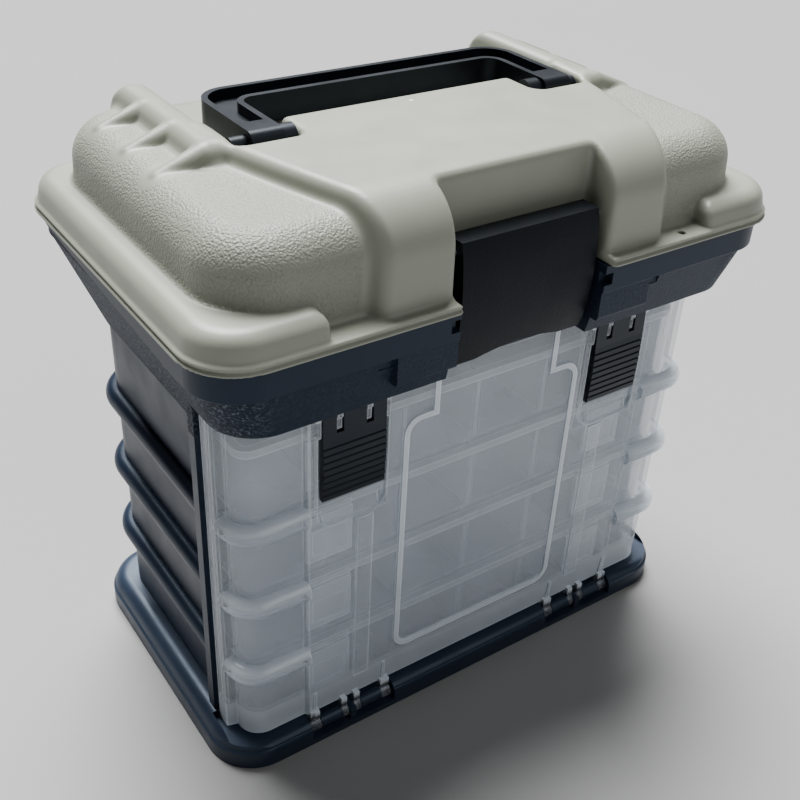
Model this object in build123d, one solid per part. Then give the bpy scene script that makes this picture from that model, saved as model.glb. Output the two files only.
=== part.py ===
from build123d import *
import os

# Hard-sided tackle box: a navy rack that holds four clear utility trays behind a clear drop-down
# front door, with an open storage tub above the rack under a hinged grey lid with a bail handle.
# Millimetres. X is the width, the front faces -Y, +Z is up. The origin is the middle of the
# underside of the foot.

os.makedirs("parts", exist_ok=True)

# ---------------------------------------------------------------- driving dimensions
FOOT_HALF_X, FOOT_HALF_Y, FOOT_R = 127.2, 73.1, 22.0
FOOT_TOP = 16.0
SILL_TOP = 12.0                 # lower front strip that the door stands over
SILL_BACK = -46.0
SILL_HALF_X = 122.5
WELL_FLOOR = 12.0               # floor that the lowest tray slides on
POCKET_FLOOR, POCKET_BACK = 3.0, -62.5
BARRELS = [(51.0, 61.5), (71.5, 82.0)]      # X ranges of the hinge barrels in each pocket
BOOT_X0, BOOT_X1 = 65.0, 68.0               # small block between the barrels

WALL_HALF_X, WALL_BACK, WALL_R = 116.0, 64.5, 20.0
WALL_T = 2.6
WALL_FRONT = -45.0
POST_DEPTH = 5.0
RIB_PROUD = 5.0
TRAY_PITCH = 37.3
RAIL_IN = 107.6                 # inner edge of the rails that carry the trays

TUB_BOTTOM = 161.0
TUB_SHELF = 177.0               # raised front part of the tub bottom, above the door
TUB_TOP = 208.9
TUB_FLOOR_T = 3.0
BAND_BOTTOM = 197.0
BAND_HALF_X, BAND_FRONT, BAND_BACK = 132.0, -85.4, 80.6
TUB_FRONT_IN = -70.0            # tub wall at the back of the latch recess

RIM_HALF_X, RIM_FRONT, RIM_BACK, RIM_R = 135.0, -88.4, 83.6, 22.0
RIM_BOTTOM, RIM_TOP = 209.2, 212.5
DOME_HALF_X, DOME_FRONT, DOME_BACK, DOME_R = 122.5, -77.0, 75.0, 27.0
DOME_TOP = 246.4
PLATEAU_TOP = 254.0
PLATEAU_BACK = 8.0
RIDGE_IN, RIDGE_OUT, RIDGE_BACK = 82.5, 96.5, 72.0
HANDLE_FLOOR = 242.5
NOTCH_FRONT, NOTCH_IN, NOTCH_FLOOR = -12.0, 55.0, 240.3
FIN_YS = [-5.5, 20.5, 46.5]
HOLE_X, HOLE_Y, HOLE_R = 77.0, -82.2, 1.6
RECESS_HALF_X, RECESS_WALL = 35.5, -67.6
BUMPER_TOP, BUMPER_END = 222.6, 88.0

DOOR_BOTTOM, DOOR_TOP, DOOR_T = 13.2, 174.5, 2.0
DOOR_Y, DOOR_SIDE_Y = -68.0, -66.0
DOOR_STEP_X = 87.0
DOOR_AXIS_Y, DOOR_AXIS_Z = -68.0, 7.0
DOOR_EYE_R = 3.4
DOOR_ARMS = [(46.2, 50.6), (61.9, 64.6), (68.4, 71.1), (82.4, 86.8)]
POCKET_IN, POCKET_OUT = 44.9, 87.9

LATCH_X0, LATCH_X1 = 53.3, 81.1
LATCH_AXIS_Y, LATCH_AXIS_Z = -66.9, 168.0
GROOVES, GROOVE_PITCH = 8, 3.1
SLOT_LOW = 161.0                # lower end of the two slots that the door's prongs stand in
PRONG_X = 6.5                   # prongs and slots each side of the latch's middle

LID_LATCH_HALF_X = 31.8
LID_LATCH_AXIS_Y, LID_LATCH_AXIS_Z = -74.5, 226.5
LID_LATCH_LOW = 180.5
KEEPER_HALF_X, KEEPER_LOW, KEEPER_TOP = 20.0, 189.0, 192.0
SCOOP_R, SCOOP_RISE = 70.0, 3.0   # shallow finger scoop in its lower edge
LID_AXIS_Y, LID_AXIS_Z = 80.5, 206.0
LID_KNUCKLE_R = 3.0
LID_POCKET_IN, LID_POCKET_OUT = 44.0, 76.0
LID_KNUCKLE_IN, LID_KNUCKLE_OUT = 52.4, 67.6    # the lid's knuckle between the tub's two
HANDLE_AXIS_Y, HANDLE_AXIS_Z = -3.0, 249.3

TRAY_COUNT = 4
TRAY_HALF_X, TRAY_FRONT, TRAY_BACK = 110.5, -59.5, 60.5
TRAY_H = 31.0
TRAY_WALL = 1.5
TRAY_FIRST_Z = WELL_FLOOR + 0.3
DIVIDER_XS = [-73.4, -36.7, 0.0, 36.7, 73.4]
MID_WALL_Y = 2.0
CATCH_X, CATCH_HALF_X = 73.4, 10.4

# pins and their running bores
DOOR_PIN_R, DOOR_BORE_R = 1.20, 1.27
LATCH_PIN_R, LATCH_BORE_R = 1.00, 1.06
LID_LATCH_PIN_R, LID_LATCH_BORE_R = 1.50, 1.56
LID_PIN_R, LID_BORE_R = 1.25, 1.32
HANDLE_PIN_R, HANDLE_BORE_R = 1.80, 1.87

FAR = 150.0                     # beyond every piece to the left and right, for cutting blocks


# ---------------------------------------------------------------- helpers
def block(x0, x1, y0, y1, z0, z1):
    """Box between two corners."""
    centre = ((x0 + x1) / 2, (y0 + y1) / 2, (z0 + z1) / 2)
    return Pos(*centre) * Box(x1 - x0, y1 - y0, z1 - z0)


def plate(x0, x1, y0, y1, z0, z1, r):
    """Box with rounded vertical corners."""
    outline = Pos((x0 + x1) / 2, (y0 + y1) / 2, z0) * RectangleRounded(x1 - x0, y1 - y0, r)
    return extrude(outline, z1 - z0)


def soft_plate(x0, x1, y0, y1, z0, z1, r, top_r):
    """Rounded plate with its top edges rounded too."""
    body = plate(x0, x1, y0, y1, z0, z1, r)
    return fillet(body.faces().sort_by(Axis.Z)[-1].edges(), top_r)


def rod(x0, x1, y, z, r):
    """Round bar along X."""
    return Pos((x0 + x1) / 2, y, z) * Rot(0, 90, 0) * Cylinder(r, x1 - x0)


def prism_x(points, x0, x1):
    """Side profile given as (y, z) points, extruded along X from x0 to x1."""
    wire = Polyline(*[(x0, y, z) for y, z in points], close=True)
    return extrude(make_face(wire), x1 - x0, dir=(1, 0, 0))


def prism_z(points, z0, z1):
    """Plan outline given as (x, y) points, extruded upward from z0 to z1."""
    wire = Polyline(*[(x, y, z0) for x, y in points], close=True)
    return extrude(make_face(wire), z1 - z0, dir=(0, 0, 1))


def both(shape):
    """The shape and its mirror image across the middle plane."""
    return [shape, mirror(shape, Plane.YZ)]


def save(name, shape):
    """Write one node as STEP."""
    solids = shape.solids()
    body = solids[0] if len(solids) == 1 else Compound(children=list(solids))
    export_step(body, "parts/" + name + ".step")


# ---------------------------------------------------------------- foot
def make_foot():
    lower = soft_plate(-FOOT_HALF_X, FOOT_HALF_X, -FOOT_HALF_Y, FOOT_HALF_Y, 0, 9.5, FOOT_R, 1.6)
    inset = 1.0
    upper = soft_plate(
        inset - FOOT_HALF_X, FOOT_HALF_X - inset, inset - FOOT_HALF_Y, FOOT_HALF_Y - inset,
        5, FOOT_TOP, FOOT_R - inset, 7.0,
    )
    foot = lower + upper
    # the strip under the door is lower, with its front edge rounded about the hinge axis
    foot -= block(-SILL_HALF_X, SILL_HALF_X, -90, SILL_BACK, SILL_TOP, 30)
    bevel = block(-SILL_HALF_X, SILL_HALF_X, -75, DOOR_AXIS_Y, DOOR_AXIS_Z, 20)
    foot -= bevel - rod(-FAR, FAR, DOOR_AXIS_Y, DOOR_AXIS_Z, SILL_TOP - DOOR_AXIS_Z)
    foot -= plate(-WALL_HALF_X + WALL_T, WALL_HALF_X - WALL_T, -90, WALL_BACK - WALL_T,
                  WELL_FLOOR, 30, WALL_R - WALL_T)
    for x0, x1 in [(POCKET_IN, POCKET_OUT), (-POCKET_OUT, -POCKET_IN)]:
        foot -= block(x0, x1, -90, POCKET_BACK, POCKET_FLOOR, 20)
    # hinge barrels stand on webs in each pocket
    web_y = POCKET_BACK + 0.5
    for x0, x1 in BARRELS:
        for shape in both(block(x0, x1, web_y - 2.2, web_y, POCKET_FLOOR, 10.4)):
            foot += shape
    for x0, x1 in BARRELS:
        arm = block(x0, x1, DOOR_AXIS_Y, web_y, DOOR_AXIS_Z - 2.4, DOOR_AXIS_Z + 2.4)
        for shape in both(rod(x0, x1, DOOR_AXIS_Y, DOOR_AXIS_Z, DOOR_EYE_R) + arm):
            foot += shape
    for shape in both(block(BOOT_X0, BOOT_X1, DOOR_AXIS_Y - 4, web_y, POCKET_FLOOR, DOOR_AXIS_Z + 2)):
        foot += shape
    for shape in both(rod(POCKET_IN + 0.4, POCKET_OUT - 0.4, DOOR_AXIS_Y, DOOR_AXIS_Z, DOOR_PIN_R)):
        foot -= shape
    return foot


# ---------------------------------------------------------------- rack shell
def make_rack_shell():
    outer = plate(-WALL_HALF_X, WALL_HALF_X, -90, WALL_BACK, FOOT_TOP, TUB_BOTTOM, WALL_R)
    x = WALL_HALF_X + RIB_PROUD
    for step in range(1, TRAY_COUNT):
        z = WELL_FLOOR + TRAY_PITCH * step + 0.4
        rib = plate(-x, x, -90, WALL_BACK + RIB_PROUD, z - 4.6, z + 4.6, WALL_R + RIB_PROUD)
        faces = rib.faces().sort_by(Axis.Z)
        rib = fillet(faces[0].edges() + faces[-1].edges(), 4.5)
        outer += rib
    outer -= block(-FAR, FAR, -120, WALL_FRONT + 1, 0, 200)
    for post in both(block(112.0, x, WALL_FRONT, WALL_FRONT + POST_DEPTH, FOOT_TOP, TUB_BOTTOM)):
        outer += post
    inside = plate(-WALL_HALF_X + WALL_T, WALL_HALF_X - WALL_T, -120, WALL_BACK - WALL_T,
                   0, 200, WALL_R - WALL_T)
    shell = outer - inside
    # a rail each side carries every tray above the lowest one
    for step in range(1, TRAY_COUNT):
        z = WELL_FLOOR + TRAY_PITCH * step
        for rail in both(block(RAIL_IN, 114.5, WALL_FRONT, 44, z - 1.6, z)):
            shell += rail
    return shell


# ---------------------------------------------------------------- upper tub
def make_tub():
    low = Pos(0, (WALL_BACK + 0.5 - 75.0) / 2, TUB_BOTTOM) * RectangleRounded(
        2 * (WALL_HALF_X + 0.6), WALL_BACK + 0.5 + 75.0, 18)
    high = Pos(0, -2.4, 200) * RectangleRounded(2 * 131.0, 164.0, 20)
    tub = loft([low, high])
    inset = 0.9
    tub += plate(inset - BAND_HALF_X, BAND_HALF_X - inset, BAND_FRONT + inset, BAND_BACK - inset,
                 199.5, TUB_TOP, 20 - inset)
    # smooth band under the lid, which narrows towards the back
    band = plate(-BAND_HALF_X, BAND_HALF_X, BAND_FRONT, BAND_BACK, BAND_BOTTOM, TUB_TOP, 20)
    band = fillet(band.faces().sort_by(Axis.Z)[0].edges(), 0.7)
    tub += band - prism_x([(-60, 190), (100, 190), (100, BAND_BOTTOM + 9), (-60, BAND_BOTTOM)], -FAR, FAR)
    front_plate = block(-60.7, 60.7, BAND_FRONT + 0.6, -70, 184.5, BAND_BOTTOM + 3)
    tub += fillet(front_plate.edges().filter_by(Axis.X).group_by(Axis.Z)[0].sort_by(Axis.Y)[0], 2)
    inner_low = Pos(0, (WALL_BACK - 73.6) / 2 - 0.6, TUB_BOTTOM + TUB_FLOOR_T) * RectangleRounded(
        2 * (WALL_HALF_X - 2.2), WALL_BACK + 68.0, 15)
    inner_high = Pos(0, -2.4, TUB_TOP + 1) * RectangleRounded(2 * 128.4, 158.8, 17)
    cavity = loft([inner_low, inner_high])
    cavity -= block(-FAR, FAR, -100, SILL_BACK + 3, 150, TUB_SHELF + 3)
    cavity -= block(-38.5, 38.5, -100, TUB_FRONT_IN + 3, 150, 220)
    for shape in both(block(LID_POCKET_IN - 2.5, LID_POCKET_OUT + 2.5, 73.5, 100, 198, 220)):
        cavity -= shape
    tub -= cavity
    tub -= block(-FAR, FAR, -100, SILL_BACK, 150, TUB_SHELF)
    # the rack's front posts run on up to the skirt
    post_x = WALL_HALF_X + RIB_PROUD
    for shape in both(block(post_x - 7, post_x, WALL_FRONT, WALL_FRONT + POST_DEPTH, TUB_BOTTOM, 173)):
        tub += shape
    # latch recess, with a keeper bar across it
    recess = block(-34.5, 34.5, -100, TUB_FRONT_IN, TUB_SHELF - 5, 220)
    tub -= recess
    tub += block(-KEEPER_HALF_X, KEEPER_HALF_X, TUB_FRONT_IN - 1.2, TUB_FRONT_IN + 1, KEEPER_LOW, KEEPER_TOP)
    # square sockets beside the latch and notches at the ends of the front plate
    for shape in both(block(34.0, 38.6, -100, -82.0, 200.5, 205.5)):
        tub -= shape
    for shape in both(block(61.5, 67.5, -100, -82.4, 192.8, 197.6)):
        tub -= shape
    # rear hinge pockets with two knuckles in each
    for shape in both(block(LID_POCKET_IN, LID_POCKET_OUT, 76.5, 90, 201.6, 215)):
        tub -= shape
    for x0, x1 in [(LID_POCKET_IN + 1, LID_KNUCKLE_IN - 0.4), (LID_KNUCKLE_OUT + 0.4, LID_POCKET_OUT - 1)]:
        for shape in both(rod(x0, x1, LID_AXIS_Y, LID_AXIS_Z, LID_KNUCKLE_R)
                          + block(x0, x1, 75.5, LID_AXIS_Y, 203.4, 208.4)):
            tub += shape
    for shape in both(rod(LID_POCKET_IN + 0.6, LID_POCKET_OUT - 0.6, LID_AXIS_Y, LID_AXIS_Z, LID_PIN_R)):
        tub -= shape
    return tub


# ---------------------------------------------------------------- lid
def lid_band():
    """Raised central plateau that turns down over the front edge."""
    side = [(RIM_FRONT + 4.6, RIM_TOP - 2), (RIM_FRONT + 5.6, 232), (RIM_FRONT + 8.6, 243),
            (RIM_FRONT + 14.6, 250), (RIM_FRONT + 24, 253.2), (RIM_FRONT + 36, PLATEAU_TOP),
            (PLATEAU_BACK, PLATEAU_TOP), (PLATEAU_BACK, 230), (-60, 214)]
    body = prism_x(side, -110, 110)
    plan = [(-96, PLATEAU_BACK + 2), (-96, -17), (-71.5, -72), (-67.5, -92),
            (67.5, -92), (71.5, -72), (96, -17), (96, PLATEAU_BACK + 2)]
    return body & prism_z(plan, 200, 270)


def lid_ridge_and_fins():
    """One side's ridge beside the handle, with three tapered fins."""
    ridge = soft_plate(RIDGE_IN, RIDGE_OUT, NOTCH_FRONT - 6, RIDGE_BACK, 236, PLATEAU_TOP, 4.5, 4.4)
    for y in FIN_YS:
        fin = Pos(102, y, 247.2) * Rot(0, 98, 0) * Cone(5.6, 1.0, 22)
        ridge += fin
    return ridge


def make_lid():
    flange = plate(-RIM_HALF_X, RIM_HALF_X, RIM_FRONT, RIM_BACK, RIM_BOTTOM, RIM_TOP, RIM_R)
    groove = plate(-FAR, FAR, -100, 100, 210.6, 211.2, 5) - plate(
        -RIM_HALF_X + 0.5, RIM_HALF_X - 0.5, RIM_FRONT + 0.5, RIM_BACK - 0.5, 210, 212, RIM_R - 0.5)
    flange -= groove
    dome = soft_plate(-DOME_HALF_X, DOME_HALF_X, DOME_FRONT, DOME_BACK, RIM_TOP - 2, DOME_TOP,
                      DOME_R, 13)
    bumper = soft_plate(-133.4, 133.4, RIM_FRONT + 1.6, RIM_BACK - 1.6, RIM_TOP - 2, BUMPER_TOP,
                        RIM_R - 1.5, 5)
    bumper -= block(-BUMPER_END, BUMPER_END, -100, 100, 200, 230)
    lid = flange + bumper + dome + lid_band()
    for shape in both(lid_ridge_and_fins()):
        lid += shape
    # handle well behind the plateau, with a notch each side for the handle's arms
    lid -= block(-RIDGE_IN, RIDGE_IN, PLATEAU_BACK, 100, HANDLE_FLOOR, 270)
    for shape in both(block(NOTCH_IN, RIDGE_IN, NOTCH_FRONT, PLATEAU_BACK + 1, NOTCH_FLOOR, 270)):
        lid -= shape
    # hollow underside
    cavity = soft_plate(-DOME_HALF_X + 2.8, DOME_HALF_X - 2.8, DOME_FRONT + 2.8, DOME_BACK - 2.8,
                        RIM_BOTTOM - 2, 237.6, DOME_R - 2.8, 8)
    cavity -= block(-RECESS_HALF_X - 4, RECESS_HALF_X + 4, -100, RECESS_WALL + 2.8, 200, 260)
    cavity += block(-50, 50, -62, PLATEAU_BACK - 3, 236, PLATEAU_TOP - 3)
    lid -= cavity
    # latch recess at the front
    lid -= block(-RECESS_HALF_X, RECESS_HALF_X, -100, RECESS_WALL, 200, 270)
    for shape in both(rod(RECESS_HALF_X - 1, RECESS_HALF_X + 3.2, LID_LATCH_AXIS_Y,
                          LID_LATCH_AXIS_Z, LID_LATCH_PIN_R)):
        lid -= shape
    # small blind hole in the front flange
    lid -= Pos(HOLE_X, HOLE_Y, RIM_TOP) * Cylinder(HOLE_R, 4)
    # rear hinge knuckles
    x0, x1 = LID_KNUCKLE_IN, LID_KNUCKLE_OUT
    for shape in both(rod(x0, x1, LID_AXIS_Y, LID_AXIS_Z, LID_KNUCKLE_R)
                      + block(x0, x1, LID_AXIS_Y - 1, RIM_BACK - 0.3, LID_AXIS_Z, RIM_BOTTOM + 0.5)):
        lid += shape
    for shape in both(rod(x0 - 2, x1 + 2, LID_AXIS_Y, LID_AXIS_Z, LID_BORE_R)):
        lid -= shape
    for shape in both(rod(NOTCH_IN - 5, RIDGE_IN + 5, HANDLE_AXIS_Y, HANDLE_AXIS_Z, HANDLE_PIN_R)):
        lid -= shape
    return lid


# ---------------------------------------------------------------- lid latch
def make_lid_latch():
    x0 = -LID_LATCH_HALF_X
    front = [(-79.0, 231.4), (-80.9, 220), (-81.5, 208), (-80.6, 193), (-77.6, LID_LATCH_LOW)]
    back = [(-77.6, LID_LATCH_LOW), (-74.8, LID_LATCH_LOW), (-72.2, 187), (-71.9, 193), (-70.6, 197),
            (-70.2, 231.4), (-79.0, 231.4)]
    curve = Spline(*[(x0, y, z) for y, z in front])
    rest = Polyline(*[(x0, y, z) for y, z in back])
    body = extrude(make_face([curve, rest]), 2 * LID_LATCH_HALF_X, dir=(1, 0, 0))
    pocket = [(-76.0, 221), (-77.6, 210), (-77.4, 200), (-76.0, 191), (-66, 191), (-66, 221)]
    body -= prism_x(pocket, -LID_LATCH_HALF_X + 3.2, LID_LATCH_HALF_X - 3.2)
    # finger scoop in the lower edge
    body -= Pos(0, -77, LID_LATCH_LOW - SCOOP_R + SCOOP_RISE) * Rot(90, 0, 0) * Cylinder(SCOOP_R, 30)
    body -= rod(-40, 40, LID_LATCH_AXIS_Y, LID_LATCH_AXIS_Z, LID_LATCH_BORE_R)
    return body


# ---------------------------------------------------------------- handle
def make_handle():
    top, height = 255.1, 11.5
    x_out, x_in, y_back, y_in, y_end = 75.5, 62.0, 43.0, 27.5, -9.5
    outer = plate(-x_out, x_out, -60, y_back, top - height, top, 14)
    inner = plate(-x_in, x_in, -80, y_in, top - height - 1, top + 1, 6)
    bail = outer - inner
    bail -= block(-100, 100, -100, y_end, 200, 300)
    # sunken web between two rims, above and below
    rim, deep = 2.6, 4.2
    channel_out = plate(-x_out + rim, x_out - rim, -60, y_back - rim, 0, deep, 14 - rim)
    channel_in = plate(-x_in - rim, x_in + rim, -80, y_in + rim, -1, deep + 1, 6 + rim)
    channel = channel_out - channel_in
    channel -= block(-100, 100, -100, HANDLE_AXIS_Y + 5.5, -5, 20)
    bail -= Pos(0, 0, top - deep) * channel
    bail -= Pos(0, 0, top - height) * channel
    ends = bail.edges().filter_by(Axis.X).group_by(Axis.Y)[0]
    bail = fillet(ends, 3.6)
    # pivot bosses that fill the notch on both sides of each arm
    for shape in both(rod(NOTCH_IN + 0.6, x_in + 1, HANDLE_AXIS_Y, HANDLE_AXIS_Z, 5.0)
                      + rod(x_out - 1, RIDGE_IN - 0.6, HANDLE_AXIS_Y, HANDLE_AXIS_Z, 3.4)):
        bail += shape
    for shape in both(rod(NOTCH_IN, RIDGE_IN, HANDLE_AXIS_Y, HANDLE_AXIS_Z, HANDLE_BORE_R)):
        bail -= shape
    return bail


# ---------------------------------------------------------------- front door
def door_plan(inset, y_back):
    """Plan outline of the door, moved inward by inset; its corners are rounded afterwards."""
    t = inset
    half = [(DOOR_STEP_X - 0.4 - 0.4 * t, DOOR_Y + t), (DOOR_STEP_X + 1.2 - 0.4 * t, DOOR_SIDE_Y + t),
            (115.0 - t, DOOR_SIDE_Y + t), (115.0 - t, -55.4 + 0.7 * t), (119.5 - t, -54.0 + 0.7 * t),
            (119.5 - t, y_back)]
    return [(-x, y) for x, y in reversed(half)] + half


def round_door_corners(body, x, r):
    """Round the two front vertical corners that stand at plus and minus x."""
    for side in [1, -1]:
        low, high = sorted([side * (x - 0.05), side * (x + 0.05)])
        edge = body.edges().filter_by(Axis.Z).filter_by_position(Axis.X, low, high)
        body = fillet(edge.sort_by(Axis.Y)[0], r)
    return body


def make_door():
    tall = DOOR_TOP + 3         # everything is made taller, then cut level in one pass
    outer = round_door_corners(prism_z(door_plan(0, -47.0), DOOR_BOTTOM, tall), 115.0, 10)
    inner = round_door_corners(prism_z(door_plan(DOOR_T, -40.0), 0, 200), 115.0 - DOOR_T, 8)
    door = outer
    # half-round hollow ribs round each front corner, in line with the rack's ribs
    proud = 4.8
    cuts = []
    for step in range(1, TRAY_COUNT):
        z = WELL_FLOOR + TRAY_PITCH * step + 0.6
        rib = plate(-115 - proud, 115 + proud, DOOR_SIDE_Y - proud, 0, z - 4.6, z + 4.6, 10 + proud)
        faces = rib.faces().sort_by(Axis.Z)
        rib = fillet(faces[0].edges() + faces[-1].edges(), 4.4)
        rib -= block(-FAR, FAR, -53.5, 50, 0, 200)
        rib -= block(-DOOR_STEP_X, DOOR_STEP_X, -100, 0, 0, 200)
        door += rib
        hollow = plate(-118, 118, DOOR_SIDE_Y - 3.0, 0, z - 2.6, z + 2.6, 12)
        hollow -= block(-FAR, FAR, -58.5, 50, 0, 200)
        hollow -= block(-DOOR_STEP_X - 3, DOOR_STEP_X + 3, -100, 0, 0, 200)
        cuts.append(hollow)
    door -= inner
    for hollow in cuts:
        door -= hollow
    # chamfered bottom band
    door -= prism_x([(-80, 13), (-66.9, 13), (-67.6, 22), (DOOR_Y, 26), (-80, 26)], -85.5, 85.5)
    # embossed outline panel that narrows beside the lid latch
    wide, narrow, bead = 44.5, 31.0, 2.4
    panel = plate(-wide, wide, -156.0, -31.7, 0, 1.2, 8) + block(-narrow, narrow, -200, -150, 0, 1.2)
    hole = plate(-wide + bead, wide - bead, -156.0 + bead, -31.7 - bead, -1, 3, 8 - bead)
    hole += block(-narrow + bead, narrow - bead, -200, -150, -1, 3)
    outline = Rot(90, 0, 0) * mirror(panel - hole, Plane.XZ)
    outline = Pos(0, DOOR_Y, 0) * outline
    door += outline & block(-60, 60, -80, -60, 20, tall)
    # stiffening strips under each latch and short gussets in the bottom band
    for shape in both(block(57.5, 65.0, DOOR_Y - 0.8, DOOR_Y + 0.5, 26, 116)):
        door += shape
    for x in [49.0, 84.0]:
        for shape in both(prism_x([(-66.6, 13.4), (-68.0, 13.4), (-68.8, 26), (-66.6, 26)],
                                  x - 0.8, x + 0.8)):
            door += shape
    # latch pocket with a finger scoop below the latch, its pivot cheeks and two pivot prongs
    floor_y = -65.4
    back_y = floor_y + 1.8
    x0, x1 = LATCH_X0 - 1.7, LATCH_X1 + 1.7
    for shape in both(block(x0 - 1.8, x1 + 1.8, DOOR_Y, back_y, 115.2, tall)):
        door += shape
    outline = Pos((x0 + x1) / 2, floor_y, 150.5) * Rot(90, 0, 0) * RectangleRounded(x1 - x0, 67.0, 7)
    for shape in both(extrude(outline, 20)) + both(block(x0 + 1.2, x1 - 1.2, -70, -60, 163.5, 190)):
        door -= shape
    ramp = prism_x([(floor_y + 0.5, 116.5), (DOOR_Y + 0.2, 116.5), (floor_y + 0.5, 125.5)],
                   x0 + 2.5, x1 - 2.5)
    for shape in both(ramp):
        door += shape
    middle = (LATCH_X0 + LATCH_X1) / 2
    holder = block(x0 - 1.8, LATCH_X0 - 0.3, DOOR_Y, back_y, 160, tall)
    holder += block(LATCH_X1 + 0.3, x1 + 1.8, DOOR_Y, back_y, 160, tall)
    for x in [middle - PRONG_X, middle + PRONG_X]:
        low = SLOT_LOW + 0.9
        holder += block(x - 1.2, x + 1.2, LATCH_AXIS_Y - 1.0, back_y, low, low + 2.5)
        holder += block(x - 1.2, x + 1.2, LATCH_AXIS_Y - 1.0, LATCH_AXIS_Y + 1.0, low, LATCH_AXIS_Z)
        holder += rod(x - 1.2, x + 1.2, LATCH_AXIS_Y, LATCH_AXIS_Z, 1.9)
    for shape in both(holder):
        door += shape
    for shape in both(rod(x0 - 0.8, x1 + 0.8, LATCH_AXIS_Y, LATCH_AXIS_Z, LATCH_PIN_R)):
        door -= shape
    door -= block(-FAR, FAR, -100, 0, DOOR_TOP, 200)
    # hinge arms with eyes
    for x0, x1 in DOOR_ARMS:
        for shape in both(block(x0, x1, -69.4, -66.4, DOOR_AXIS_Z, DOOR_BOTTOM + 2)
                          + rod(x0, x1, DOOR_AXIS_Y, DOOR_AXIS_Z, DOOR_EYE_R)):
            door += shape
    for shape in both(rod(POCKET_IN, POCKET_OUT, DOOR_AXIS_Y, DOOR_AXIS_Z, DOOR_BORE_R)):
        door -= shape
    return door


def make_door_latch(side):
    middle = side * (LATCH_X0 + LATCH_X1) / 2
    half = (LATCH_X1 - LATCH_X0) / 2
    x0, x1 = middle - half, middle + half
    front = [(-68.6, 172.4), (-69.0, 158)]
    for groove in range(GROOVES):
        z = 155.6 - groove * GROOVE_PITCH
        proud = -69.5 + 0.0022 * (z - 146) ** 2
        front += [(proud, z), (proud + 0.7, z - 0.5), (proud, z - 1.0)]
    front += [(-69.1, 131.2), (-68.6, 130.4)]
    back = [(-66.2, 130.4), (-66.0, 150), (-66.0, 163), (-65.6, 166), (-65.6, 171), (-66.6, 172.4)]
    body = prism_x(front + back, x0, x1)
    for x in [middle - PRONG_X, middle + PRONG_X]:
        body -= block(x - 1.6, x + 1.6, -80, -60, SLOT_LOW, 170.8)
    body -= rod(x0 - 1, x1 + 1, LATCH_AXIS_Y, LATCH_AXIS_Z, LATCH_BORE_R)
    return body


# ---------------------------------------------------------------- trays
def tray_plate(grow, z0, z1):
    """Tray outline grown all round by grow: small corners in front, larger ones behind."""
    x, y0, y1 = TRAY_HALF_X + grow, TRAY_FRONT - grow, TRAY_BACK + grow
    outline = Pos(0, (y0 + y1) / 2, z0) * Rectangle(2 * x, y1 - y0)
    outline = fillet(outline.vertices().group_by(Axis.Y)[0], 6 + grow)
    outline = fillet(outline.vertices().group_by(Axis.Y)[-1], 14 + grow)
    return extrude(outline, z1 - z0)


def make_tray_box(z0):
    box = tray_plate(0, z0, z0 + TRAY_H)
    box = fillet(box.faces().sort_by(Axis.Z)[0].edges(), 1.6)
    t = TRAY_WALL
    box -= tray_plate(-t, z0 + t, z0 + 50)
    box += block(-TRAY_HALF_X + 1, TRAY_HALF_X - 1, MID_WALL_Y, MID_WALL_Y + 1.3, z0 + 1, z0 + TRAY_H - 1)
    # moulded slots that hold the dividers
    for x in DIVIDER_XS:
        for dx in [-1.7, 0.9]:
            for y0, y1 in [(TRAY_FRONT + 1, TRAY_FRONT + 3), (MID_WALL_Y - 1.2, MID_WALL_Y + 0.5)]:
                box += block(x + dx, x + dx + 0.8, y0, y1, z0 + 1, z0 + TRAY_H - 2)
    return box


def make_dividers(z0):
    y0, y1 = TRAY_FRONT + TRAY_WALL + 0.1, MID_WALL_Y - 0.1
    plates = [block(x - 0.7, x + 0.7, y0, y1, z0 + TRAY_WALL, z0 + TRAY_H - 1.5) for x in DIVIDER_XS]
    return Compound(children=plates)


def make_tray_lid(z0):
    low = z0 + TRAY_H
    lid = tray_plate(0.7, low, low + 3.4)
    lid -= tray_plate(-3, low + 1.6, low + 5)
    # raised ribs on top
    for x in [-55.0, 0.0, 55.0]:
        lid += block(x - 0.8, x + 0.8, TRAY_FRONT + 3, TRAY_BACK - 2, low + 1, low + 2.8)
    for shape in both(block(CATCH_X - CATCH_HALF_X, CATCH_X + CATCH_HALF_X, TRAY_FRONT - 1.6, TRAY_FRONT,
                            low + 0.6, low + 2.8)):
        lid += shape
    return lid


def make_tray_catches(z0):
    low = z0 + 8
    shapes = []
    for x in [-CATCH_X, CATCH_X]:
        tab = block(x - CATCH_HALF_X, x + CATCH_HALF_X, TRAY_FRONT - 2.3, TRAY_FRONT - 0.7,
                    low, z0 + TRAY_H - 0.4)
        tab -= block(x - 8, x + 8, TRAY_FRONT - 2.6, TRAY_FRONT - 1.7, low + 3, z0 + TRAY_H - 8)
        tab += block(x - 6, x + 6, TRAY_FRONT - 0.8, TRAY_FRONT, low + 2, low + 4.5)
        shapes.append(tab)
    return Compound(children=shapes)


# ---------------------------------------------------------------- pins
def pin_pair(x0, x1, y, z, r):
    return Compound(children=both(rod(x0, x1, y, z, r)))


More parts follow.
